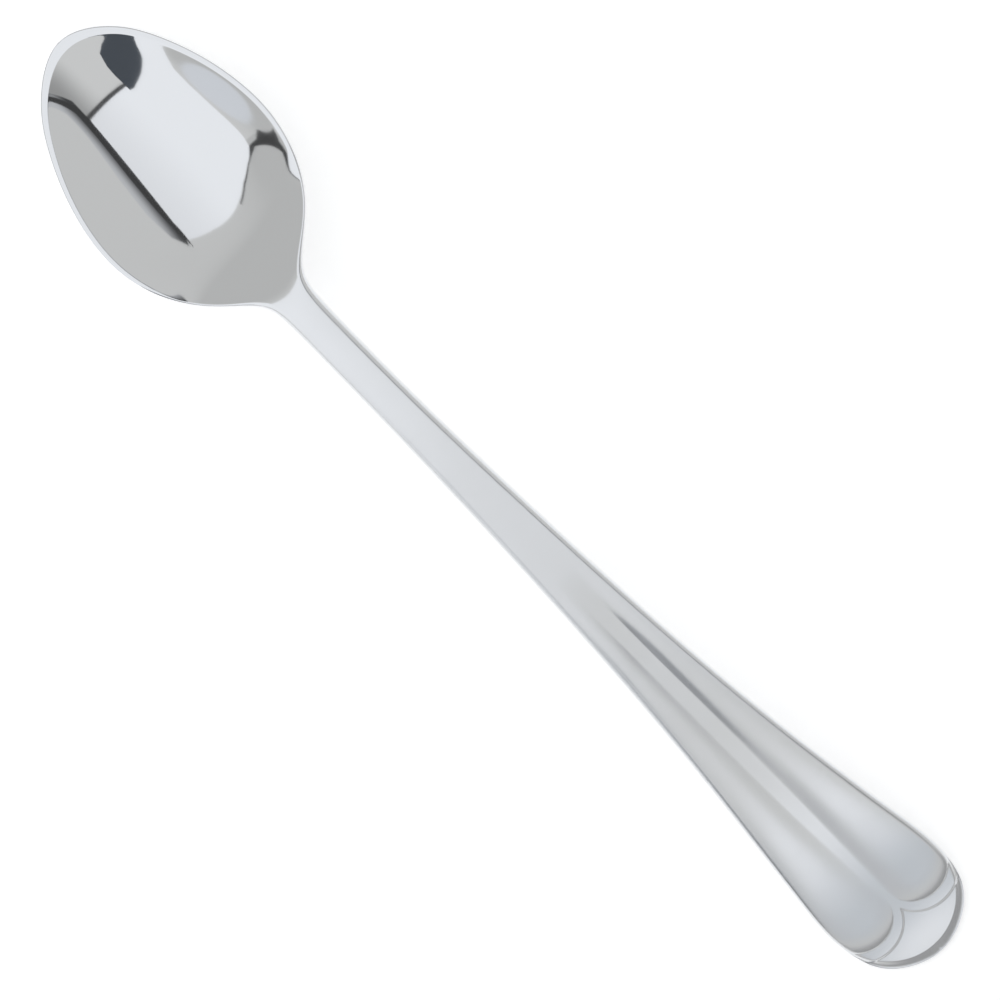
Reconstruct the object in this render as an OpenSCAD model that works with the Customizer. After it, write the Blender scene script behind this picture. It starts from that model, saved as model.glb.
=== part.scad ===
// Iced tea spoon, stamped from one piece of stainless steel.
// Frame: X runs along the spoon from the bowl's tip to the handle's end, Y is across,
// +Z is up. The origin is below the middle of the length, on the surface it rests on.
// The spoon lies on the underside of its bowl and on a small flat under the handle's end.

/* [Overall] */
// Length from the bowl's tip to the handle's end
spoon_length = 184; // [172:1:200]
// Height of the arch above the lowest rim, at the root of the stem
arch_height = 12.5; // [11:0.1:16]

/* [Bowl] */
// Length from the bowl's tip to the root of the stem
bowl_length = 54; // [48:0.5:60]
// Width of the bowl at its widest
bowl_width = 32.4; // [26:0.2:38]
// Depth of the bowl below its rim
bowl_depth = 8.9; // [7:0.1:10]
// Height of the rim at the tip
tip_height = 4.8; // [4:0.1:6.5]
// Height of the rim beside the widest part
side_height = 10; // [9:0.1:11.5]
// Thickness of the metal at the outer edge of the rim
rim_edge = 0.5; // [0.4:0.05:0.7]
// Half width of the outline where the hollow begins, which sets how broad the flat rim is
rim_land = 4.9; // [4:0.1:5.6]
// Roundness of the line between the flat rim and the hollow
rim_crease = 0.07; // [0.05:0.01:0.15]

/* [Stem] */
// Width of the stem at its slimmest
stem_width = 5.8; // [5:0.1:7]
// Thickness of the stem along its middle
stem_thickness = 2.8; // [2.4:0.1:3.6]
// Thickness of the stem at its edges
stem_edge = 2; // [1.4:0.1:2.3]

/* [Handle] */
// Width of the handle at its widest
handle_width = 20.4; // [16:0.2:24]
// Thickness of the handle along its middle
handle_thickness = 2.3; // [2:0.1:2.6]
// Thickness of the handle at its edges
handle_edge = 1.9; // [1.6:0.05:2]
// Height of the middle of the metal at the handle's end
end_height = 0.95; // [0.85:0.05:1.1]
// Radius of the rounded edge at the handle's end
end_round = 0.6; // [0.4:0.05:0.8]
// Length of the round end, from its tip to where the handle is widest
end_arc = 10.5; // [9:0.1:12]
// Breadth of the band that slopes down round the tip of the end
end_band = 1.4; // [1:0.1:1.8]
// How far that band slopes down
end_fall = 0.6; // [0.4:0.05:0.7]

/* [Pattern] */
// Width of the flat strip between the two long pads
strip_width = 2; // [1.6:0.1:3]
// Distance from the handle's end to where the strip starts to narrow
strip_taper = 34; // [28:1:40]
// How far coining presses the face of the handle down
pattern_sink = 0.7; // [0.5:0.05:0.8]
// Height of each pad's crown above the strip
pad_height = 0.55; // [0.3:0.05:0.7]
// Height of the strip above the plain plate at the end
ledge_height = 0.2; // [0.1:0.05:0.3]
// Distance from the handle's end to the rounded ends of the pads
pad_setback = 6.6; // [6:0.1:9]
// Width of the ledge that follows the pads' rounded ends
ledge_width = 1.8; // [1.2:0.1:2.2]
// Length over which each pad's end rolls down
pad_roll = 3.2; // [2:0.1:4]
// How far the corners of the pads' ends draw back
pad_corner = 4.4; // [3:0.1:5]
// Distance from the handle's end to where the pattern is first seen
pattern_start = 76; // [70:1:84]
// Distance from the handle's end to where the pattern has its full depth
pattern_full = 58; // [50:1:64]

/* [Hidden] */
half_length = spoon_length / 2;
handle_run = spoon_length - bowl_length;
bowl_half = bowl_width / 2;
stem_half = stem_width / 2;
handle_half = handle_width / 2;
steel = [0.80, 0.81, 0.82];
polished = [0.86, 0.88, 0.90];

// Sections of the bowl and neck. Each row gives the place along the bowl's length, the
// half width as shares of the bowl's and of the stem's, the rim's height as shares of the
// tip's, the side's and the arch's, the dish as a share of the depth, how much of the
// thickness is the stem's, and the flat rim as a share of its full breadth.
bowl_shares = [
  [-0.037, 0.00, 0.00, 1.10, -0.10, 0.00, -0.17, 0.00, 1.00],
  [0.074, 0.50, 0.00, 0.81, 0.19, 0.00, 0.34, 0.00, 1.00],
  [0.185, 0.72, 0.00, 0.54, 0.46, 0.00, 0.68, 0.00, 1.00],
  [0.315, 0.895, 0.00, 0.30, 0.70, 0.00, 0.92, 0.00, 1.00],
  [0.445, 0.995, 0.00, 0.12, 0.88, 0.00, 1.02, 0.00, 1.00],
  [0.575, 1.02, 0.00, 0.03, 0.97, 0.00, 0.98, 0.00, 1.00],
  [0.705, 0.905, 0.00, 0.00, 0.97, 0.00, 0.65, 0.00, 0.80],
  [0.80, 0.64, 0.34, 0.00, 0.90, 0.00, 0.30, 0.15, 0.30],
  [0.87, 0.325, 0.72, 0.00, 0.77, 0.23, 0.13, 0.50, 0.00],
  [0.935, 0.05, 0.95, 0.00, 0.27, 0.73, 0.04, 0.85, 0.00],
  [1.00, 0.00, 1.00, 0.00, 0.00, 1.00, 0.00, 1.00, 0.00],
];

// Sections of the stem and handle. Each row gives the place along the run from the root of
// the stem, the half width from the stem's to the handle's, the height from the end's to
// the arch's, and the thickness from the stem's to the handle's.
handle_shares = [
  [0.046, 0.00, 1.00, 0.00],
  [0.108, 0.00, 0.985, 0.02],
  [0.20, 0.015, 0.935, 0.10],
  [0.30, 0.07, 0.85, 0.25],
  [0.41, 0.15, 0.765, 0.45],
  [0.515, 0.25, 0.69, 0.65],
  [0.615, 0.385, 0.61, 0.80],
  [0.71, 0.56, 0.515, 0.90],
  [0.785, 0.74, 0.42, 0.96],
  [0.845, 0.88, 0.315, 1.00],
  [0.90, 1.035, 0.185, 1.00],
];

// The last three sections close the handle's end: distance short of the end, half width as
// a share of the handle's, and height above the end's as a share of the arch.
end_reach = 2.6;
end_shares = [[2.85, 0.98, 0.06], [1.00, 0.785, 0.00], [-0.50, 0.00, 0.00]];

// One row per section: place, half width, rim height, dish, half thickness, half edge, and
// the half width of the outline below which the rim stays flat all across.
function bowl_row(r) = [
  r[0] * bowl_length,
  r[1] * bowl_half + r[2] * stem_half,
  r[3] * tip_height + r[4] * side_height + r[5] * arch_height,
  r[6] * bowl_depth,
  mix(rim_edge, stem_thickness, r[7]) / 2,
  mix(rim_edge, stem_edge, r[7]) / 2,
  r[8] * rim_land,
];
function handle_row(r) = [
  bowl_length + r[0] * handle_run,
  mix(stem_half, handle_half, r[1]),
  mix(end_height, arch_height, r[2]),
  0,
  mix(stem_thickness, handle_thickness, r[3]) / 2,
  mix(stem_edge, handle_edge, r[3]) / 2,
  0,
];
function end_row(r) = [
  spoon_length - r[0] * end_reach,
  r[1] * handle_half,
  mix(end_height, arch_height, r[2]),
  0,
  handle_thickness / 2,
  handle_edge / 2,
  0,
];
sections = concat(
  [for (r = bowl_shares) bowl_row(r)],
  [for (r = handle_shares) handle_row(r)],
  [for (r = end_shares) end_row(r)]
);
last = len(sections) - 1;

// Past either end the sections mirror, with the half width's sign turned.
function flip(r) = [r[0], -r[1], r[2], r[3], r[4], r[5], r[6]];
function section_row(i) =
  i < 0 ? flip(sections[-i]) : i > last ? flip(sections[2 * last - i]) : sections[i];

// Small helpers: a blend of two values, a clamp and a smooth step.
function mix(a, b, s) = a + (b - a) * s;
function clamp(v) = min(1, max(0, v));
function ease(v) = let (s = clamp(v)) s * s * (3 - 2 * s);

// Uniform cubic spline through the sections, and its rate of change.
function spline(t) =
  let (i = min(floor(t), last - 1), u = t - i)
  ((1 - u) ^ 3 * section_row(i - 1)
    + (3 * u ^ 3 - 6 * u ^ 2 + 4) * section_row(i)
    + (-3 * u ^ 3 + 3 * u ^ 2 + 3 * u + 1) * section_row(i + 1)
    + u ^ 3 * section_row(i + 2)) / 6;
function spline_rate(t) =
  let (i = min(floor(t), last - 1), u = t - i)
  (-(1 - u) ^ 2 * section_row(i - 1)
    + (3 * u ^ 2 - 4 * u) * section_row(i)
    + (-3 * u ^ 2 + 2 * u + 1) * section_row(i + 1)
    + u ^ 2 * section_row(i + 2)) / 2;

// The pads' rounded ends, seen from above: a flat arc across each half of the handle, with its
// middle and reach as shares of the half width. grow moves the line out, for the ledge.
pad_middle_share = 0.54;
pad_arc_share = 0.49;
corner_grow_share = 0.4;
function pad_end(y, grow) =
  let (v = (abs(y) - handle_half * pad_middle_share) / (handle_half * pad_arc_share + grow / 2))
  spoon_length - pad_setback + grow
    - (pad_corner + grow * corner_grow_share) * (1 - sqrt(max(1 - v * v, 0)));

// Half width of the strip, which narrows to this share towards the pads' ends.
strip_end_share = 0.2;
function strip_half(x) =
  let (s = ease((x - spoon_length + strip_taper) / (strip_taper - pad_setback)))
  strip_width / 2 * mix(1, strip_end_share, s);

// Each pad rises from the strip with a soft foot, is highest at its crest and falls a little
// towards the handle's edge. All three are shares, of the pad's width or of its height.
pad_foot_share = 0.1;
pad_crest_share = 0.6;
pad_fall_share = 0.3;
function pad_crown(v) =
  let (
    rise = v * v / (v + pad_foot_share),
    before = 1 - min(rise / pad_crest_share, 1),
    past = max(rise - pad_crest_share, 0) / (1 - pad_crest_share)
  )
  1 - before * before - pad_fall_share * past * past;

// Height of the coined pattern against the stem's smooth crown. inner is where the edge's
// round starts, and the step down to the plain plate takes this share of the ledge's width.
ledge_step_share = 0.2;
function relief(x, y, inner) =
  let (
    shown = ease((x - spoon_length + pattern_start) / (pattern_start - pattern_full)),
    strip = strip_half(x),
    crown = pad_crown(clamp((abs(y) - strip) / max(inner - strip, strip))),
    roll = quarter_round((pad_end(y, 0) - x) / pad_roll),
    ledge = ease((pad_end(y, ledge_width) - x) / (ledge_width * ledge_step_share))
  )
  shown * (ledge_height * ledge + pad_height * crown * roll - pattern_sink);

// The band that slopes down round the tip: its inner line is the end's outline moved back.
function band_fall(x, y) =
  let (
    v = y / handle_half,
    outline = spoon_length - end_arc * (1 - sqrt(max(1 - v * v, 0)))
  )
  end_fall * clamp((x - outline) / end_band + 1);

// Share of the full thickness left at a place, where the tip and the end are rounded.
function quarter_round(d) = let (s = clamp(d)) sqrt(1 - (1 - s) * (1 - s));
function nose(x, r) = quarter_round(x / r) * quarter_round((spoon_length - x) / end_round);

// How much fuller than a parabola the dish is towards the rim. Below nought it is shallower.
fullness_share = -0.2;

// Steps from the middle out, over the top, on the flat rim, underneath and round the edge.
across_top = 12;
across_rim = 2;
across_under = 8;
edge_steps = 3;

// Place across the top of a section, from -1 to 1, for step i. In the bowl the last steps on
// each side lie on the flat rim, whose inner line stays between these shares of the way out,
// and along the handle all steps are even.
rim_line_shares = [0.3, 0.98];
function across(row, flat, i) =
  let (
    even = 1 - across_rim / across_top,
    inside = sqrt(max(row[1] * row[1] - row[6] * row[6], 0)) / max(flat, rim_edge),
    line = min(max(inside, rim_line_shares[0]), rim_line_shares[1]),
    rim = mix(even, line, clamp(2 * row[6] / rim_land)),
    s = abs(i) / across_top
  )
  sign(i) * (s < even ? s / even * rim : mix(rim, 1, (s - even) / (1 - even)));

// A point on the upper (side 1) or lower (side -1) surface. q is the place across the flat
// part, from -1 to 1, and turn is the angle round the edge, from 0 to 90.
function skin_point(row, edge, q, turn, side) =
  let (
    w = max(row[1], 0),
    flat = w - edge,
    y = q * flat + sign(q) * edge * sin(turn),
    s = w > 0 ? y / w : 0,
    left = cos(turn) * nose(row[0], row[5]),
    half = mix(row[4], row[5], s * s) * left,
    bend = w > 0 ? row[3] / (w * w) * (1 + fullness_share * s * s) : 0,
    outside = bend * (w * w - y * y),
    core = outside - bend * row[6] * row[6],
    soft = rim_crease * row[3] / bowl_depth * left,
    hollow = (core + sqrt(core * core + soft * soft)) / 2,
    raised = (relief(row[0], y, flat) - band_fall(row[0], y)) * left
  )
  [row[0], y, side > 0 ? row[2] + half - hollow + raised : row[2] - half - outside];

// One closed ring: over the top from -Y to +Y, then back underneath.
function ring(t) =
  let (
    row = spline(t),
    rate = spline_rate(t),
    slope = rate[1] / max(rate[0], rim_edge / 50),
    edge = min(row[5] * sqrt(1 + slope * slope), max(row[1], 0)),
    flat = row[1] - edge
  )
  concat(
    [for (j = [edge_steps : -1 : 1]) skin_point(row, edge, -1, 90 * j / edge_steps, 1)],
    [for (i = [-across_top : across_top]) skin_point(row, edge, across(row, flat, i), 0, 1)],
    [for (j = [1 : edge_steps]) skin_point(row, edge, 1, 90 * j / edge_steps, 1)],
    [for (j = [edge_steps - 1 : -1 : 1]) skin_point(row, edge, 1, 90 * j / edge_steps, -1)],
    [for (i = [across_under : -1 : -across_under]) skin_point(row, edge, i / across_under, 0, -1)],
    [for (j = [1 : edge_steps - 1]) skin_point(row, edge, -1, 90 * j / edge_steps, -1)]
  );

// Where each region ends, counted in sections, and the steps along it.
bowl_end = 8;
neck_end = 11;
stem_end = 15;
handle_end = 21;
function steps(a, b, per) = [for (i = [0 : round((b - a) * per)]) a + i / per];

// The lowest point of the bowl stands on the surface at height zero.
under_bowl = min([for (t = steps(1, 6, 8)) let (r = spline(t)) r[2] - r[3] - r[4]]);
function seat(p) = [p[0] - half_length, p[1], max(p[2] - under_bowl, 0)];

// A loft through rings, closed by flat faces or, at the spoon's own ends, by a point.
module loft(stations) {
  tip = stations[0] == 0;
  end = stations[len(stations) - 1] == last;
  inner = [for (t = stations) if (t > 0 && t < last) t];
  rings = [for (t = inner) [for (p = ring(t)) seat(p)]];
  n = len(rings[0]);
  m = len(rings);
  closing = spline(end ? last : 0);
  polyhedron(
    points = concat(
      [for (r = rings) each r],
      tip || end ? [seat([closing[0], 0, closing[2]])] : []
    ),
    faces = concat(
      [for (k = [0 : m - 2], j = [0 : n - 1])
        let (a = k * n + j, b = k * n + (j + 1) % n)
        each [[a, b, b + n], [a, b + n, a + n]]],
      tip
        ? [for (j = [0 : n - 1]) [m * n, (j + 1) % n, j]]
        : [[for (j = [n - 1 : -1 : 0]) j]],
      end
        ? [for (j = [0 : n - 1]) [m * n, (m - 1) * n + j, (m - 1) * n + (j + 1) % n]]
        : [[for (j = [0 : n - 1]) (m - 1) * n + j]]
    ),
    convexity = 6
  );
}

// Bowl: the dished end, mirror polished inside, from its tip to the heel.
module bowl() {
  color(polished)
    loft(concat([for (i = [0 : 7]) (i / 8)], steps(1, bowl_end, 4)));
}

// Neck: the heel of the bowl gathers and climbs into the stem.
module neck() {
  color(steel)
    loft(steps(bowl_end, neck_end, 4));
}

// Stem: the slim plain shank.
module stem() {
  color(steel)
    loft(steps(neck_end, stem_end, 2));
}

// Handle: the widening grip with two long pads and the flat strip between them.
module handle() {
  color(steel)
    loft(steps(stem_end, handle_end, 5));
}

// End: the pads' rounded ends, their ledge, and the plain rounded plate.
module end_plate() {
  color(steel)
    loft(concat(steps(handle_end, last - 1, 18), [for (i = [1 : 14]) last - 1 + i / 14]));
}

bowl();
neck();
stem();
handle();
end_plate();
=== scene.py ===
# %% [markdown]
# # An iced tea spoon in polished and satin steel
# The real spoon is one stamping of stainless steel: a deep egg-shaped bowl, a slim arched
# stem and a widening handle, coined with two long pads that end in round noses. It has no
# separate pieces, so the part has five regions that meet face to face. This scene rebuilds
# each region as a fine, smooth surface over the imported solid, gives it a real metal finish,
# and lights it with large soft panels, because polished metal looks like what it reflects.
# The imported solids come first. Their box gives the spoon's length.

import bpy
import numpy as np
from mathutils import Matrix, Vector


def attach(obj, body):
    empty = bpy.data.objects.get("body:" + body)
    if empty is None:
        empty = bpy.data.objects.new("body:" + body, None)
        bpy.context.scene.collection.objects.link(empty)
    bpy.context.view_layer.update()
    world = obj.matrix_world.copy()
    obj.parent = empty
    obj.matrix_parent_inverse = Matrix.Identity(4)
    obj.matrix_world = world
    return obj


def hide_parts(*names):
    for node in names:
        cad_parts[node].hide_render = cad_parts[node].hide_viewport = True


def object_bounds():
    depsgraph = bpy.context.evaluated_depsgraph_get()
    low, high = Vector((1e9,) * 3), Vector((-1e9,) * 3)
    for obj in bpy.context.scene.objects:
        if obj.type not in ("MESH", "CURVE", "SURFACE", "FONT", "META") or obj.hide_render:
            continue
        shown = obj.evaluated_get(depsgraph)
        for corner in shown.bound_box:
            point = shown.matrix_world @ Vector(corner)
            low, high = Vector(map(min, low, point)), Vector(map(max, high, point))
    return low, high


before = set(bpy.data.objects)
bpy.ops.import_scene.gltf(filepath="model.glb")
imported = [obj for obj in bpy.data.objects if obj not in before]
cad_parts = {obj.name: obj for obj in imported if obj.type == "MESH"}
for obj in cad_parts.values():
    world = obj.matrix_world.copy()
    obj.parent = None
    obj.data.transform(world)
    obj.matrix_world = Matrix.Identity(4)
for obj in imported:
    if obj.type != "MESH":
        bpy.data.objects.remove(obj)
solid_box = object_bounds()
print("solids:", sorted(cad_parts), "box from", solid_box[0][:], "to", solid_box[1][:])

# %% [markdown]
# ## The camera
# The photograph looks down on the spoon with a long lens. The view leans a little toward
# the handle and a little across, and it is rolled so that the bowl is at the upper left.
# An object's rotation could be typed in as three angles, but those are hard to read. Here
# the camera's three axes are built from two small leans and one roll, which a reader can
# picture, and put into its matrix.

# %% Place the camera
CAMERA_DISTANCE = 0.75
CAMERA_AIM = np.array([0.00185, 0.0003, 0.007])
LEAN_TO_HANDLE, LEAN_ACROSS, ROLL = np.radians([6.33, 10.35, 45.92])
LENS_MM, SENSOR_MM = 187.7, 36

back = np.array([np.sin(LEAN_TO_HANDLE), np.sin(LEAN_ACROSS), 0.0])
back[2] = np.sqrt(1 - back @ back)
along = np.array([1.0, 0.0, 0.0]) - back[0] * back
along /= np.linalg.norm(along)
across = np.cross(back, along)
right = np.cos(ROLL) * along + np.sin(ROLL) * across
up = np.cos(ROLL) * across - np.sin(ROLL) * along

axes = Matrix([[*row, place] for row, place in
               zip(np.column_stack([right, up, back]), CAMERA_AIM + CAMERA_DISTANCE * back)])
axes.resize_4x4()
camera = bpy.data.objects.new("camera", bpy.data.cameras.new("camera"))
camera.matrix_world = axes
camera.data.lens = LENS_MM
camera.data.sensor_width = SENSOR_MM
bpy.context.scene.collection.objects.link(camera)
bpy.context.scene.camera = camera
print("camera at", camera.matrix_world.translation[:])

# %% [markdown]
# ## The driving sizes
# A spoon is a sheet whose outline, height, dish and thickness change along its length. These
# sizes are the same ones that the solids use, in metres. The length is read from the packed
# solids.

# %% Name the sizes
MM = 0.001
LENGTH = solid_box[1].x - solid_box[0].x
ARCH_HEIGHT = 12.5 * MM
BOWL_LENGTH, BOWL_WIDTH, BOWL_DEPTH = 54 * MM, 32.4 * MM, 8.9 * MM
TIP_HEIGHT, SIDE_HEIGHT = 4.8 * MM, 10 * MM
RIM_EDGE, RIM_LAND, RIM_CREASE = 0.5 * MM, 4.9 * MM, 0.07 * MM
STEM_WIDTH, STEM_THICKNESS, STEM_EDGE = 5.8 * MM, 2.8 * MM, 2 * MM
HANDLE_WIDTH, HANDLE_THICKNESS, HANDLE_EDGE = 20.4 * MM, 2.3 * MM, 1.9 * MM
END_HEIGHT, END_ROUND, END_REACH = 0.95 * MM, 0.6 * MM, 2.6 * MM
END_ARC, END_BAND, END_FALL = 10.5 * MM, 1.4 * MM, 0.6 * MM
print("spoon length", round(LENGTH / MM, 2), "mm")

# %% [markdown]
# ## Sections along the spoon
# A modeller could draw a cage by hand and subdivide it, but a mirror finish shows every
# uneven quad. So the spoon is described by a few sections, as a toolmaker would draw them,
# and a smooth spline runs through them. Each row of the first list gives the place along
# the bowl, the half width as shares of the bowl's and the stem's, the rim's height as shares
# of the tip's, the side's and the arch's, the dish as a share of the depth, how much of the
# thickness is the stem's, and the flat rim as a share of its full breadth. The handle's rows
# give the place along the run, the width, the height and the thickness. The last three rows
# close the round end.

# %% List the sections
bowl_shares = np.array([
    [-0.037, 0.00, 0.00, 1.10, -0.10, 0.00, -0.17, 0.00, 1.00],
    [0.074, 0.50, 0.00, 0.81, 0.19, 0.00, 0.34, 0.00, 1.00],
    [0.185, 0.72, 0.00, 0.54, 0.46, 0.00, 0.68, 0.00, 1.00],
    [0.315, 0.895, 0.00, 0.30, 0.70, 0.00, 0.92, 0.00, 1.00],
    [0.445, 0.995, 0.00, 0.12, 0.88, 0.00, 1.02, 0.00, 1.00],
    [0.575, 1.02, 0.00, 0.03, 0.97, 0.00, 0.98, 0.00, 1.00],
    [0.705, 0.905, 0.00, 0.00, 0.97, 0.00, 0.65, 0.00, 0.80],
    [0.80, 0.64, 0.34, 0.00, 0.90, 0.00, 0.30, 0.15, 0.30],
    [0.87, 0.325, 0.72, 0.00, 0.77, 0.23, 0.13, 0.50, 0.00],
    [0.935, 0.05, 0.95, 0.00, 0.27, 0.73, 0.04, 0.85, 0.00],
    [1.00, 0.00, 1.00, 0.00, 0.00, 1.00, 0.00, 1.00, 0.00]])
handle_shares = np.array([
    [0.046, 0.00, 1.00, 0.00], [0.108, 0.00, 0.985, 0.02], [0.20, 0.015, 0.935, 0.10],
    [0.30, 0.07, 0.85, 0.25], [0.41, 0.15, 0.765, 0.45], [0.515, 0.25, 0.69, 0.65],
    [0.615, 0.385, 0.61, 0.80], [0.71, 0.56, 0.515, 0.90], [0.785, 0.74, 0.42, 0.96],
    [0.845, 0.88, 0.315, 1.00], [0.90, 1.035, 0.185, 1.00]])
end_shares = np.array([[2.85, 0.98, 0.06], [1.00, 0.785, 0.00], [-0.50, 0.00, 0.00]])


def blend(a, b, share):
    """a where share is 0, b where it is 1, and in proportion between."""
    return a + (b - a) * share


def section_rows():
    """One row per section: place, half width, rim height, dish, half thickness, half edge
    and the half width of the outline below which the rim stays flat all across."""
    b, h, e = bowl_shares.T, handle_shares.T, end_shares.T
    bowl = [b[0] * BOWL_LENGTH,
            (b[1] * BOWL_WIDTH + b[2] * STEM_WIDTH) / 2,
            b[3] * TIP_HEIGHT + b[4] * SIDE_HEIGHT + b[5] * ARCH_HEIGHT,
            b[6] * BOWL_DEPTH,
            blend(RIM_EDGE, STEM_THICKNESS, b[7]) / 2,
            blend(RIM_EDGE, STEM_EDGE, b[7]) / 2,
            b[8] * RIM_LAND]
    handle = [BOWL_LENGTH + h[0] * (LENGTH - BOWL_LENGTH),
              blend(STEM_WIDTH, HANDLE_WIDTH, h[1]) / 2,
              blend(END_HEIGHT, ARCH_HEIGHT, h[2]),
              0 * h[0],
              blend(STEM_THICKNESS, HANDLE_THICKNESS, h[3]) / 2,
              blend(STEM_EDGE, HANDLE_EDGE, h[3]) / 2,
              0 * h[0]]
    end = [LENGTH - e[0] * END_REACH,
           e[1] * HANDLE_WIDTH / 2,
           blend(END_HEIGHT, ARCH_HEIGHT, e[2]),
           0 * e[0],
           HANDLE_THICKNESS / 2 + 0 * e[0],
           HANDLE_EDGE / 2 + 0 * e[0],
           0 * e[0]]
    return np.hstack([bowl, handle, end]).T


rows = section_rows()
last_section = len(rows) - 1
# Past either end the rows mirror with the half width's sign turned, which rounds the tips.
turned = np.array([1, -1, 1, 1, 1, 1, 1])
held_rows = np.vstack([rows[1] * turned, rows, rows[-2] * turned, rows[-3] * turned])
TINY = 1e-9
print(len(rows), "sections")

# %% [markdown]
# ## A spline through the sections
# A uniform cubic B-spline blends four neighbouring rows at a time. It bends smoothly twice
# over, and that matters here: a reflection breaks wherever the slope or the curvature jumps.

# %% Blend the sections
def spline(t):
    """The blended row at t, counted in sections: each of four rows times its cubic weight."""
    i = np.clip(np.floor(t).astype(int), 0, last_section - 1)
    u = (t - i)[..., None]
    return ((1 - u) ** 3 * held_rows[i]
            + (3 * u ** 3 - 6 * u ** 2 + 4) * held_rows[i + 1]
            + (-3 * u ** 3 + 3 * u ** 2 + 3 * u + 1) * held_rows[i + 2]
            + u ** 3 * held_rows[i + 3]) / 6


def spline_rate(t):
    """How fast the blended row changes with t: the same sum with the weights' slopes."""
    i = np.clip(np.floor(t).astype(int), 0, last_section - 1)
    u = (t - i)[..., None]
    return (-(1 - u) ** 2 * held_rows[i]
            + (3 * u ** 2 - 4 * u) * held_rows[i + 1]
            + (-3 * u ** 2 + 2 * u + 1) * held_rows[i + 2]
            + u ** 2 * held_rows[i + 3]) / 2


# The bowl's lowest point is found under its middle, and the spoon is let down onto it.
bottom = spline(np.linspace(1, 6, 41))
under_bowl = (bottom[:, 2] - bottom[:, 3] - bottom[:, 4]).min()
print("widest", round(spline(np.linspace(0, 24, 481))[:, 1].max() * 2 / MM, 2), "mm at the rim")

# %% [markdown]
# ## The coined pattern
# A die presses the widening handle down and leaves two long pads with a flat strip between
# them. Each pad leaves the strip with a soft foot, is highest past its middle and falls a
# little towards the handle's edge. Near the end the pads roll down in a round nose, a low
# ledge follows the noses, and the plate past it is plain. A bump map could fake this, but its
# edges catch light and break the outline, so it is real height on the surface.

# %% Height of the pattern
STRIP_WIDTH, STRIP_TAPER, STRIP_END_SHARE = 2 * MM, 34 * MM, 0.2
PATTERN_SINK, PAD_HEIGHT, LEDGE_HEIGHT = 0.7 * MM, 0.55 * MM, 0.2 * MM
PAD_SETBACK, LEDGE_WIDTH, PAD_ROLL, PAD_CORNER = 6.6 * MM, 1.8 * MM, 3.2 * MM, 4.4 * MM
PAD_FOOT_SHARE, PAD_CREST_SHARE, PAD_FALL_SHARE = 0.1, 0.6, 0.3
PAD_MIDDLE_SHARE, PAD_REACH_SHARE = 0.27, 0.245
CORNER_GROWTH_SHARE, LEDGE_EDGE_SHARE = 0.4, 0.2
PATTERN_START, PATTERN_FULL = 76 * MM, 58 * MM


def ease(v):
    """A smooth step from 0 to 1: three times the square less twice the cube."""
    s = np.clip(v, 0, 1)
    return s * s * (3 - 2 * s)


def quarter_round(d):
    """The height of a quarter circle of radius 1 at a distance d in from its rim."""
    return np.sqrt(1 - (1 - np.clip(d, 0, 1)) ** 2)


def pad_end(y, grow):
    """Where a pad ends, seen from above: a flat arc over each half, moved out by grow."""
    reach = HANDLE_WIDTH * PAD_REACH_SHARE + grow / 2
    v = (np.abs(y) - HANDLE_WIDTH * PAD_MIDDLE_SHARE) / reach
    corner = PAD_CORNER + grow * CORNER_GROWTH_SHARE
    drawn_back = corner * (1 - np.sqrt(np.maximum(1 - v * v, 0)))
    return LENGTH - PAD_SETBACK + grow - drawn_back


def strip_half(x):
    """Half the strip's width, which narrows toward the noses."""
    run = (x - LENGTH + STRIP_TAPER) / (STRIP_TAPER - PAD_SETBACK)
    return STRIP_WIDTH / 2 * blend(1, STRIP_END_SHARE, ease(run))


def pad_crown(v):
    """A pad's section: a parabola up to its crest and a lower one down toward the edge."""
    rise = v * v / (v + PAD_FOOT_SHARE)
    before = 1 - np.minimum(rise / PAD_CREST_SHARE, 1)
    past = np.maximum(rise - PAD_CREST_SHARE, 0) / (1 - PAD_CREST_SHARE)
    return 1 - before ** 2 - PAD_FALL_SHARE * past ** 2


def relief(x, y, inner):
    """Ledge plus the pads' crown times a quarter round at their noses, less the pressing."""
    shown = ease((x - LENGTH + PATTERN_START) / (PATTERN_START - PATTERN_FULL))
    strip = strip_half(x)
    crown = pad_crown(np.clip((np.abs(y) - strip) / np.maximum(inner - strip, strip), 0, 1))
    roll = quarter_round((pad_end(y, 0) - x) / PAD_ROLL)
    ledge = ease((pad_end(y, LEDGE_WIDTH) - x) / (LEDGE_WIDTH * LEDGE_EDGE_SHARE))
    return shown * (LEDGE_HEIGHT * ledge + PAD_HEIGHT * crown * roll - PATTERN_SINK)


def band_fall(x, y):
    """How far the band round the tip slopes down: in proportion past its inner line, which
    is the end's outline, an ellipse, moved back by the band's breadth."""
    v = 2 * y / HANDLE_WIDTH
    outline = LENGTH - END_ARC * (1 - np.sqrt(np.maximum(1 - v * v, 0)))
    return END_FALL * np.clip((x - outline) / END_BAND + 1, 0, 1)


PROBE_X, PROBE_Y, PROBE_FLAT = 150 * MM, 4 * MM, 7 * MM
pad_rise = relief(PROBE_X, PROBE_Y, PROBE_FLAT) - relief(PROBE_X, 0.0, PROBE_FLAT)
print("a pad stands", round(float(pad_rise) / MM, 2), "mm above the strip")

# %% [markdown]
# ## The skin
# One function gives any point of the spoon from two parameters: t runs along it, and a ring
# runs once round it, over the top and back underneath. A ring place is a share q across the
# flat part, an angle round the edge, and which side it is on. The bowl's rim is a flat band
# with a crisp inner line, and a mirror shows every jag in such a line. So the ring's places
# are shifted until one of them lies on the line at every station.

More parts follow.
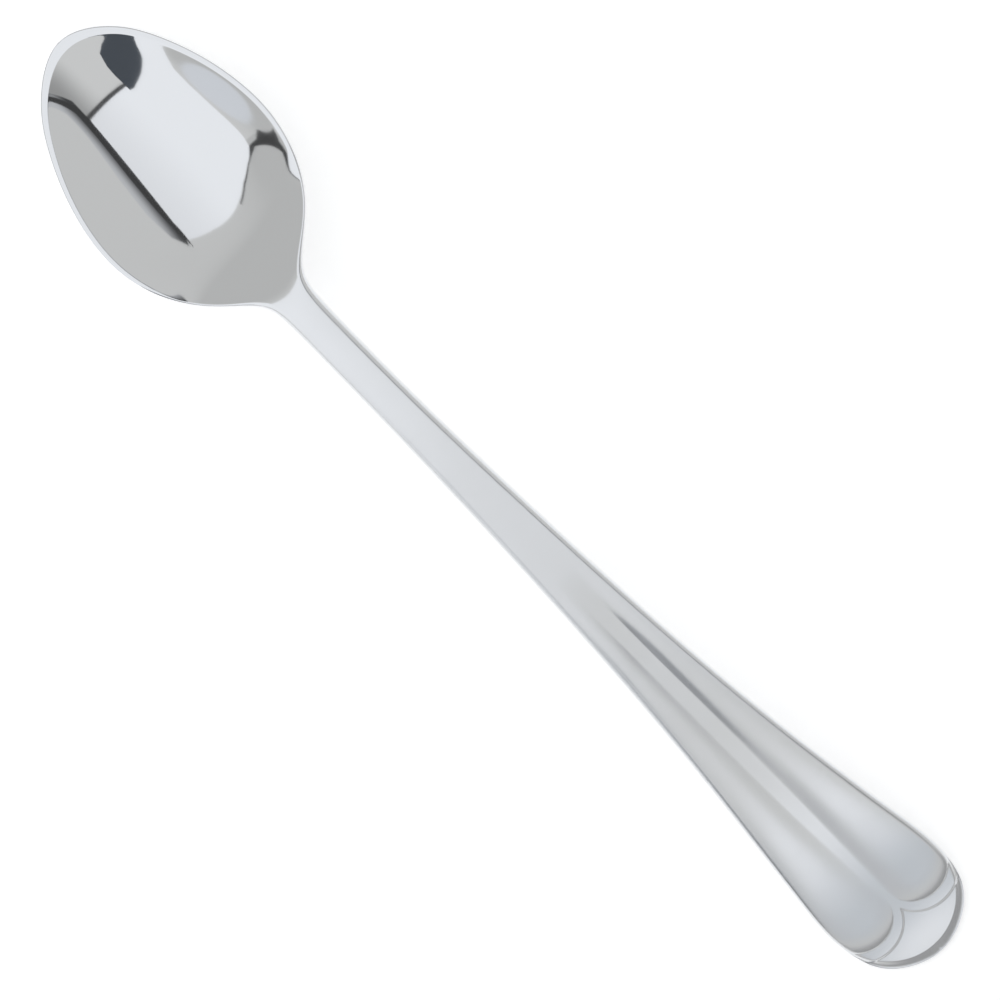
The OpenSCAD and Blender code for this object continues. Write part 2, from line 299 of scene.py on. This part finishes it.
# %% A point of the skin
FULLNESS_SHARE = -0.2
LINE_STEP_SHARE = 5 / 6
CROWDING_SHARE = 0.7
LINE_INNERMOST, LINE_OUTERMOST = 0.3, 0.98
LEAST_ADVANCE = RIM_EDGE / 50


def across_top(q, line, drawn):
    """q moved so that the share LINE_STEP_SHARE lands on the rim's inner line.

    Inside the line the steps shorten toward it as a sine does, by as much as drawn says."""
    u = np.minimum(np.abs(q) / LINE_STEP_SHARE, 1)
    inside = line * blend(u, np.sin(np.pi / 2 * u), CROWDING_SHARE * drawn)
    outside = blend(line, 1, (np.abs(q) - LINE_STEP_SHARE) / (1 - LINE_STEP_SHARE))
    return np.sign(q) * np.where(np.abs(q) < LINE_STEP_SHARE, inside, outside)


def skin(t, ring):
    """Points of the skin for a column of t and a ring of (q, angle, side).

    Underneath, the height is the rim's less the dish times one less the squared share across,
    a little shallower than a parabola. On top the same curve starts further in, where the
    flat rim ends, and a hyperbola rounds the line between them. Half the thickness is added
    on each side, the edge is an ellipse, and the pattern is added on top."""
    q, angle, side = ring
    row, rate = spline(t), spline_rate(t)
    x, half_width, rim, dish, half_middle, half_edge, land = np.moveaxis(row, -1, 0)
    half_width = np.maximum(half_width, 0)
    slope = rate[..., 1] / np.maximum(rate[..., 0], LEAST_ADVANCE)
    edge = np.minimum(half_edge * np.sqrt(1 + slope ** 2), half_width)
    flat = half_width - edge
    drawn = np.clip(2 * land / RIM_LAND, 0, 1)
    inner_line = np.sqrt(np.maximum(half_width ** 2 - land ** 2, 0))
    inner_share = np.clip(inner_line / np.maximum(flat, RIM_EDGE), LINE_INNERMOST, LINE_OUTERMOST)
    line = blend(LINE_STEP_SHARE, inner_share, drawn)
    q = np.where(side > 0, across_top(q, line, drawn), q)
    y = q * flat + np.sign(q) * edge * np.sin(angle)
    width = np.maximum(half_width, TINY)
    s = y / width
    left = np.cos(angle) * quarter_round(x / half_edge) * quarter_round((LENGTH - x) / END_ROUND)
    half = blend(half_middle, half_edge, s * s) * left
    bend = dish / width ** 2 * (1 + FULLNESS_SHARE * s * s)
    outside = bend * (width ** 2 - y * y)
    core = outside - bend * land ** 2
    soft = RIM_CREASE * dish / BOWL_DEPTH * left
    hollow = (core + np.sqrt(core ** 2 + soft ** 2)) / 2
    top = rim + half - hollow + (relief(x, y, flat) - band_fall(x, y)) * left
    height = np.where(side > 0, top, rim - half - outside) - under_bowl
    return np.stack([x - LENGTH / 2 + 0 * y, y, np.maximum(height, 0)], -1)


TOP_STEPS, UNDER_STEPS, EDGE_STEPS = 132, 60, 10
top_q = np.linspace(-1, 1, TOP_STEPS + 1)
under_q = np.linspace(1, -1, UNDER_STEPS + 1)
edge_out = np.linspace(0, np.pi / 2, EDGE_STEPS + 1)[1:]
edge_in = edge_out[-2::-1]


def ring_part(q, angle, side):
    """Three matching arrays for one stretch of the ring."""
    return np.stack(np.broadcast_arrays(np.asarray(q, float), np.asarray(angle, float), side))


ring = np.hstack([
    ring_part(top_q, 0.0, 1.0), ring_part(1, edge_out, 1.0), ring_part(1, edge_in, -1.0),
    ring_part(under_q, 0.0, -1.0), ring_part(-1, edge_out, -1.0), ring_part(-1, edge_in, 1.0)])
print("ring of", ring.shape[1], "places")

# %% [markdown]
# ## Normals worked out from the skin
# Blender can average face normals, but at the flat faces where two regions meet it would
# average the wrong ones and a mirror would show the seam. Both directions on the skin are
# known, so their cross product gives the exact normal, and the regions agree at the seam.

# %% Grid, normals and mesh
STEP = 1e-3
LEAST_NORMAL = 1e-15


def skin_and_normals(t):
    """Skin points and unit normals: the cross product of the two central differences."""
    column = t[:, None]
    points = skin(column, ring)
    ahead = skin(np.minimum(column + STEP, last_section), ring)
    behind = skin(np.maximum(column - STEP, 0), ring)
    round_it = np.roll(points, -1, 1) - np.roll(points, 1, 1)
    normals = np.cross(ahead - behind, round_it)
    size = np.linalg.norm(normals, axis=-1, keepdims=True)
    return points, normals / np.maximum(size, LEAST_NORMAL)


def closed_loft(name, t, tip=None):
    """A mesh object from rings of skin at each t, closed by a flat face or, at the spoon's
    own tips, by a fan of triangles to one point ("start" or "end")."""
    points, normals = skin_and_normals(t)
    stations, around = points.shape[:2]
    place = np.arange(stations * around).reshape(stations, around)
    beside = np.roll(place, -1, 1)
    quads = np.stack([place[:-1], place[1:], beside[1:], beside[:-1]], -1).reshape(-1, 4)
    verts, vert_normals = points.reshape(-1, 3), normals.reshape(-1, 3)
    faces = quads.tolist()
    for where, loop, outward in (("start", place[0], -1.0), ("end", place[-1][::-1], 1.0)):
        if tip == where:
            row = spline(np.array(0.0 if where == "start" else float(last_section)))
            point = [row[0] - LENGTH / 2, 0, max(row[2] - under_bowl, 0)]
            verts = np.vstack([verts, point])
            vert_normals = np.vstack([vert_normals, [outward, 0, 0]])
            pole = np.full(around, len(verts) - 1)
            faces += np.stack([loop, np.roll(loop, -1), pole], -1).tolist()
        else:
            faces.append(loop.tolist())
    mesh = bpy.data.meshes.new(name)
    mesh.from_pydata(verts.tolist(), [], faces)
    mesh.shade_smooth()
    corners = np.zeros(len(mesh.loops), int)
    mesh.loops.foreach_get("vertex_index", corners)
    corner_normals = vert_normals[corners]
    starts = np.zeros(len(mesh.polygons), int)
    totals = np.zeros(len(mesh.polygons), int)
    mesh.polygons.foreach_get("loop_start", starts)
    mesh.polygons.foreach_get("loop_total", totals)
    for face in np.flatnonzero(totals > 4):
        outward = -1.0 if mesh.polygons[face].vertices[0] < around else 1.0
        corner_normals[starts[face]:starts[face] + totals[face]] = [outward, 0, 0]
    mesh.normals_split_custom_set(corner_normals.tolist())
    piece = bpy.data.objects.new(name, mesh)
    bpy.context.scene.collection.objects.link(piece)
    print(name, len(verts), "points", int((totals - 2).sum()), "triangles")
    return piece


# %% [markdown]
# ## The five regions
# The rings stand closer together where the skin turns fast: at the bowl's tip, over the
# pads' noses and at the round end.

# %% Make the regions
BOWL_END, NECK_END, STEM_END, HANDLE_END = 8, 11, 15, 21
FIRST_RING, TIP_BEND, END_BEND, LAST_RING = 0.01, 1.2, 23, 23.99


def stops(*runs):
    """Places along the spoon: evenly spaced runs of (from, to, count), each joined on."""
    parts = [np.linspace(a, b, n + 1)[:-1] for a, b, n in runs]
    return np.append(np.concatenate(parts), runs[-1][1])


bowl = closed_loft(
    "bowl_shell", stops((FIRST_RING, TIP_BEND, 110), (TIP_BEND, BOWL_END, 190)), tip="start")
neck = closed_loft("neck_heel", stops((BOWL_END, NECK_END, 90)))
stem = closed_loft("stem_shank", stops((NECK_END, STEM_END, 90)))
handle = closed_loft("handle_pads", stops((STEM_END, HANDLE_END, 220)))
end_plate = closed_loft(
    "end_nose", stops((HANDLE_END, END_BEND, 150), (END_BEND, LAST_RING, 110)), tip="end")

# %% [markdown]
# ## Steel
# Stainless steel is a metal with a pale, faintly cool grey colour. What sets the bowl apart
# from the handle is only how fine the last polish was. A metal shader needs no more than a
# colour and a roughness, but a perfectly even one looks like plastic film. So the roughness
# drifts a little in soft patches, and a fine grain, drawn out along the spoon, tips the
# surface by a hair as the polishing belt did. The finish turns from mirror to satin over the
# neck, and both steels share that change, so no line shows where the regions meet.

# %% A number that changes smoothly along an axis
def smooth_range(nodes, links, axis, low, high, at_low, at_high):
    """Goes smoothly from one number to another between two places on the object's axis."""
    place = nodes.new("ShaderNodeTexCoord")
    split = nodes.new("ShaderNodeSeparateXYZ")
    links.new(place.outputs["Object"], split.inputs[0])
    ramp = nodes.new("ShaderNodeMapRange")
    ramp.interpolation_type = "SMOOTHSTEP"
    for socket, value in (("From Min", low), ("From Max", high),
                          ("To Min", at_low), ("To Max", at_high)):
        ramp.inputs[socket].default_value = value
    links.new(split.outputs[axis], ramp.inputs["Value"])
    return ramp.outputs[0]


def soft_noise(nodes, links, stretch, detail):
    """A soft noise, finer along each of the object's axes by that axis's stretch."""
    place = nodes.new("ShaderNodeTexCoord")
    mapping = nodes.new("ShaderNodeMapping")
    mapping.inputs["Scale"].default_value = stretch
    links.new(place.outputs["Object"], mapping.inputs["Vector"])
    noise = nodes.new("ShaderNodeTexNoise")
    noise.inputs["Scale"].default_value = 1
    noise.inputs["Detail"].default_value = detail
    links.new(mapping.outputs[0], noise.inputs["Vector"])
    return noise.outputs[0]


# %% Build the steels
MIRROR_ROUGHNESS, SATIN_ROUGHNESS = 0.05, 0.25
MIRROR_UNTIL, SATIN_FROM = -46 * MM, -34 * MM
# One colour from tip to end: the spoon is one metal.
STEEL_COLOUR = (0.749, 0.76, 0.779, 1)
DRIFT_STRETCH, DRIFT_DETAIL, DRIFT_LOW, DRIFT_HIGH = (160, 160, 160), 2, 0.85, 1.15
GRAIN_STRETCH, GRAIN_DETAIL = (250, 9000, 9000), 3
MIRROR_GRAIN, SATIN_GRAIN = 2e-7, 2e-6


def steel(name, grain_depth):
    """A metal whose roughness runs from mirror to satin along X, with drift and grain."""
    material = bpy.data.materials.new(name)
    material.use_nodes = True
    nodes, links = material.node_tree.nodes, material.node_tree.links
    shader = nodes["Principled BSDF"]
    shader.inputs["Metallic"].default_value = 1
    shader.inputs["Base Color"].default_value = STEEL_COLOUR
    finish = smooth_range(nodes, links, "X", MIRROR_UNTIL, SATIN_FROM,
                          MIRROR_ROUGHNESS, SATIN_ROUGHNESS)
    drift = nodes.new("ShaderNodeMapRange")
    drift.inputs["To Min"].default_value = DRIFT_LOW
    drift.inputs["To Max"].default_value = DRIFT_HIGH
    links.new(soft_noise(nodes, links, DRIFT_STRETCH, DRIFT_DETAIL), drift.inputs["Value"])
    roughness = nodes.new("ShaderNodeMath")
    roughness.operation = "MULTIPLY"
    links.new(finish, roughness.inputs[0])
    links.new(drift.outputs[0], roughness.inputs[1])
    links.new(roughness.outputs[0], shader.inputs["Roughness"])
    bump = nodes.new("ShaderNodeBump")
    bump.inputs["Strength"].default_value = 1
    bump.inputs["Distance"].default_value = grain_depth
    links.new(soft_noise(nodes, links, GRAIN_STRETCH, GRAIN_DETAIL), bump.inputs["Height"])
    links.new(bump.outputs[0], shader.inputs["Normal"])
    return material


polished_steel = steel("mirror_steel", MIRROR_GRAIN)
satin_steel = steel("brushed_steel", SATIN_GRAIN)
print("steels:", polished_steel.name, satin_steel.name)

# %% [markdown]
# ## Dress the solids
# Each smooth region takes the place of its solid, takes the record's finish, and rides on
# the spoon's one body.

# %% Put each region in its solid's place
finishes = {"polished_steel": polished_steel, "satin_steel": satin_steel}
for piece, node, slot in ((bowl, "bowl", "polished_steel"), (neck, "neck", "polished_steel"),
                          (stem, "stem", "satin_steel"), (handle, "handle", "satin_steel"),
                          (end_plate, "end_plate", "satin_steel")):
    piece.data.materials.append(finishes[slot])
    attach(piece, "root")
    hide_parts(node)
    print(piece.name, "stands for", node)

# %% [markdown]
# ## The studio
# A mirror has no look of its own: it shows the room. The room here is a soft white box, as
# a photographer builds for cutlery: a bright panel overhead, paler and darker grey panels
# round it, and thin dark gaps where they meet. Lamps would leave hot spots in the bowl, so
# every panel is a flat card that glows softly. The camera doesn't see the cards.
#
# The cards' outlines come from the photograph. Points on the borders of the bowl's bright,
# grey and dark patches were followed through the bowl's mirror directions to the ceiling,
# and the corners were set there. So they belong to this view and to this studio,
# and the steel itself has one plain colour.

# %% Panels that glow
CEILING = 1.0
WHITE, PALE, GREY, DARK, OPENING = 1.04, 0.74, 0.58, 0.06, 0.09
COOL, WARM = np.array([0.985, 1.0, 1.02]), np.array([1.0, 1.0, 0.98])
BLUISH, BLUISH_DARK = (0.93, 1.0, 1.08), (0.88, 1.0, 1.16)


def glow(name, level, tint=(1, 1, 1)):
    """A material that glows at an even level."""
    material = bpy.data.materials.new(name)
    material.use_nodes = True
    nodes = material.node_tree.nodes
    nodes.remove(nodes["Principled BSDF"])
    light = nodes.new("ShaderNodeEmission")
    light.inputs["Color"].default_value = (*(np.array(tint) * level), 1)
    material.node_tree.links.new(light.outputs[0], nodes["Material Output"].inputs[0])
    return material


def card(name, corners, material, height=CEILING):
    """A flat card with its corners at (x, y) on a ceiling at the given height."""
    mesh = bpy.data.meshes.new(name)
    mesh.from_pydata([(x, y, height) for x, y in corners], [], [list(range(len(corners)))])
    mesh.materials.append(material)
    return staged(name, mesh)


def staged(name, mesh):
    """A stage object that the camera doesn't see and that casts no shadow."""
    thing = bpy.data.objects.new(name, mesh)
    thing.visible_camera = False
    thing.visible_shadow = False
    bpy.context.scene.collection.objects.link(thing)
    return thing


def rectangle(x0, x1, y0, y1):
    """The four corners of a rectangle."""
    return [(x0, y0), (x1, y0), (x1, y1), (x0, y1)]


# %% [markdown]
# A cloth panel is seldom even: it fades softly where less light falls on it. One smooth ramp
# over the card's own X or Y does that.

# %% Ceiling and panels
def fading_glow(name, axis, low, high, level_low, level_high, tint):
    """A glow that goes smoothly from one level to another between two places on an axis."""
    material = glow(name, 1, tint)
    nodes, links = material.node_tree.nodes, material.node_tree.links
    level = smooth_range(nodes, links, axis, low, high, level_low, level_high)
    links.new(level, nodes["Emission"].inputs["Strength"])
    return material


FAR = 20.0
CEILING_PALER, FAR_DIM, FAR_PALER, PALE_DIM, WHITE_DIM = 0.68, 0.60, 0.72, 0.37, 0.92
card("ceiling", rectangle(-FAR, FAR, -FAR, FAR),
     fading_glow("grey_ceiling", "X", -2.2, -1.0, GREY, CEILING_PALER, WARM), CEILING + 0.03)
card("far_grey_panel", [(-2.2, -5.4), (-5.5, -15.2), (-7, -FAR), (FAR, -FAR), (FAR, -5.4)],
     fading_glow("far_grey_panel", "Y", -18, -5, FAR_DIM, FAR_PALER, WARM), CEILING + 0.025)
card("pale_panel", rectangle(0.12, 0.9, -FAR, 1.1),
     fading_glow("pale_panel", "Y", 0.0, 1.0, PALE, PALE_DIM, WARM), CEILING + 0.02)
card("bright_panel",
     [(0.1, 0.9), (-1.1, 0.9), (-1.16, 0.2), (-1.3, -0.8), (-1.41, -1.5), (-1.68, -2.6),
      (-1.96, -3.6), (-2.28, -5.0), (-2.2, -5.7), (-2.0, -6.0), (-1.3, -6.2), (-0.8, -6.9),
      (-0.42, -8.2), (-0.25, -12.5), (0.0, -FAR), (1.2, -FAR), (0.1, -1.6)],
     fading_glow("bright_panel", "Y", -0.6, 0.9, WHITE, WHITE_DIM, COOL), CEILING)
print("ceiling and panels hung")

# %% [markdown]
# The dark gaps are cards of their own, hung a little lower: a line along the bright panel's
# far side that runs on outward, with a soft shade beside it, a thin line at the handle side, a
# wide dark opening, and a wedge that widens outward.

# %% Dark gaps between the panels
GAPS = CEILING - 0.01
SHADE_DARK, SHADE_PALE = 0.07, 0.6
dark_glow = glow("dark_gap", DARK)
card("gap_shade",
     [(-1.16, 0.86), (-1.0, 1.12), (-0.6, 1.26), (-0.3, 1.27), (0.05, 1.2), (0.25, 1.2),
      (0.5, 1.36), (0.62, 1.36), (0.6, 1.1), (0.3, 0.8), (0.1, 0.8)],
     fading_glow("gap_shade", "Y", 0.9, 1.25, SHADE_DARK, SHADE_PALE, COOL), GAPS + 0.005)
card("gap_across",
     [(-1.18, 0.79), (-0.8, 0.84), (0.0, 0.87), (0.1, 0.78), (0.22, 0.82), (0.54, 1.12),
      (0.52, 1.24), (0.2, 0.98), (0.0, 0.98), (-0.3, 1.0), (-0.6, 0.98), (-1.0, 0.92)],
     dark_glow, GAPS)
card("gap_handle_side", [(0.07, -0.75), (0.095, -0.75), (0.135, 0.84), (0.105, 0.84)],
     dark_glow, GAPS)
card("dark_opening",
     [(0.04, -0.71), (0.17, -0.75), (0.28, -0.83), (0.5, -1.15), (0.64, -1.72), (0.74, -2.5),
      (0.95, -3.3), (1.0, -4.5), (0.32, -5.2), (0.2, -4.4), (0.14, -3.6), (0.06, -1.92),
      (0.03, -0.9)],
     glow("dark_opening", OPENING, BLUISH_DARK), GAPS)
card("gap_wedge",
     [(-1.31, -0.8), (-1.41, -1.5), (-1.68, -2.6), (-1.96, -3.6), (-2.28, -5.06), (-3.5, -8.6),
      (-5.3, -15.2), (-6.6, -15.8), (-4.3, -9.8), (-2.8, -6.14), (-2.13, -4.03),
      (-1.74, -2.73), (-1.44, -1.5), (-1.33, -0.8)],
     dark_glow, GAPS)
print("dark gaps hung")

# %% [markdown]
# Four small cards hang low over the handle's end, where the bowl doesn't mirror them. A white
# one brightens the plain plate, two grey ones shade the pads' flanks and ends, and a dark one
# beyond gives the noses, the ledge and the sloping band their edges.

# %% Cards over the handle's end
LOW = 0.2
FLANK, COOL_GREY, BEYOND = 0.52, 0.58, 0.36
card("end_white", rectangle(0.1, 0.157, -0.08, 0.01), glow("end_white", WHITE, COOL), LOW)
card("end_flank", rectangle(0.1, 0.2, -0.3, -0.09), glow("end_flank", FLANK, COOL), LOW)
card("end_cool", rectangle(0.157, 0.205, -0.09, 0.05), glow("end_cool", COOL_GREY, BLUISH), LOW)
card("end_dark", rectangle(0.27, 0.9, -0.6, 0.5), glow("end_dark", BEYOND), LOW)
print("cards over the handle's end hung")

# %% [markdown]
# Grey walls stand round the box, so that the spoon's rolled edges mirror something darker
# than the white ground and stand out from it. A low round kerb nearer by does the same for
# the neck, whose steepest part looks just past the bowl's tip and a little down.

# %% Walls of the box
WALL_FOOT, WALL_TOP, WALL_LEVEL = 0.02, 1.1, 0.55
wall_glow = glow("grey_wall", WALL_LEVEL, (1.0, 1.0, 0.99))


def wall(name, a, b):
    """An upright card from (x, y) a to (x, y) b."""
    mesh = bpy.data.meshes.new(name)
    corners = [(*a, WALL_FOOT), (*b, WALL_FOOT), (*b, WALL_TOP), (*a, WALL_TOP)]
    mesh.from_pydata(corners, [], [[0, 1, 2, 3]])
    mesh.materials.append(wall_glow)
    return staged(name, mesh)


KERB_RADIUS, KERB_FOOT, KERB_HEIGHT, KERB_SIDES = 0.19, 0.0005, 0.018, 64
turn = np.linspace(0, 2 * np.pi, KERB_SIDES + 1)[:-1]
circle = np.column_stack([np.cos(turn), np.sin(turn)]) * KERB_RADIUS
kerb_mesh = bpy.data.meshes.new("kerb")
kerb_mesh.from_pydata(
    [(x, y, z) for z in (KERB_FOOT, KERB_HEIGHT) for x, y in circle], [],
    [[i, (i + 1) % KERB_SIDES, (i + 1) % KERB_SIDES + KERB_SIDES, i + KERB_SIDES]
     for i in range(KERB_SIDES)])
kerb_mesh.materials.append(glow("grey_kerb", GREY, WARM))
staged("kerb", kerb_mesh)
wall("wall_handle_side", (FAR, -FAR), (FAR, FAR))
wall("wall_bowl_side", (-FAR, -FAR), (-FAR, FAR))
wall("wall_far", (-FAR, FAR), (FAR, FAR))
wall("wall_near", (-FAR, -FAR), (FAR, -FAR))
print("four walls and a kerb of", KERB_SIDES, "sides")

# %% [markdown]
# ## The ground
# The photograph's ground is plain white. A white floor takes the spoon's soft shadow, and to
# the camera and to the metal it glows a little, so that it reads as white, not as grey.

# %% Floor and surroundings
FLOOR_COLOUR, FLOOR_LIFT = (0.9, 0.9, 0.9, 1), 0.42
FLOOR_REACH, FLOOR_ROUGHNESS = 8, 0.9
PURE_WHITE = (1, 1, 1, 1)
floor_mesh = bpy.data.meshes.new("floor")
floor_corners = rectangle(-FLOOR_REACH, FLOOR_REACH, -FLOOR_REACH, FLOOR_REACH)
floor_mesh.from_pydata([(x, y, 0) for x, y in floor_corners], [], [[0, 1, 2, 3]])
floor = bpy.data.objects.new("floor", floor_mesh)
bpy.context.scene.collection.objects.link(floor)


def seen_directly(nodes, links):
    """1 for rays from the camera, from a gloss or through glass, and 0 for others."""
    path = nodes.new("ShaderNodeLightPath")
    total = path.outputs["Is Camera Ray"]
    for name in ("Is Glossy Ray", "Is Transmission Ray"):
        largest = nodes.new("ShaderNodeMath")
        largest.operation = "MAXIMUM"
        links.new(total, largest.inputs[0])
        links.new(path.outputs[name], largest.inputs[1])
        total = largest.outputs[0]
    return total


ground = bpy.data.materials.new("white_ground")
ground.use_nodes = True
nodes, links = ground.node_tree.nodes, ground.node_tree.links
shader = nodes["Principled BSDF"]
shader.inputs["Base Color"].default_value = FLOOR_COLOUR
shader.inputs["Roughness"].default_value = FLOOR_ROUGHNESS
shader.inputs["Specular IOR Level"].default_value = 0
shader.inputs["Emission Color"].default_value = PURE_WHITE
lift = nodes.new("ShaderNodeMath")
lift.operation = "MULTIPLY"
lift.inputs[1].default_value = FLOOR_LIFT
links.new(seen_directly(nodes, links), lift.inputs[0])
links.new(lift.outputs[0], shader.inputs["Emission Strength"])
floor_mesh.materials.append(ground)

world = bpy.data.worlds.new("white_surroundings")
world.use_nodes = True
bpy.context.scene.world = world
sky = world.node_tree.nodes["Background"]
sky.inputs["Color"].default_value = PURE_WHITE
sky.inputs["Strength"].default_value = 1
bpy.context.scene.view_settings.view_transform = "Standard"
print("studio ready")
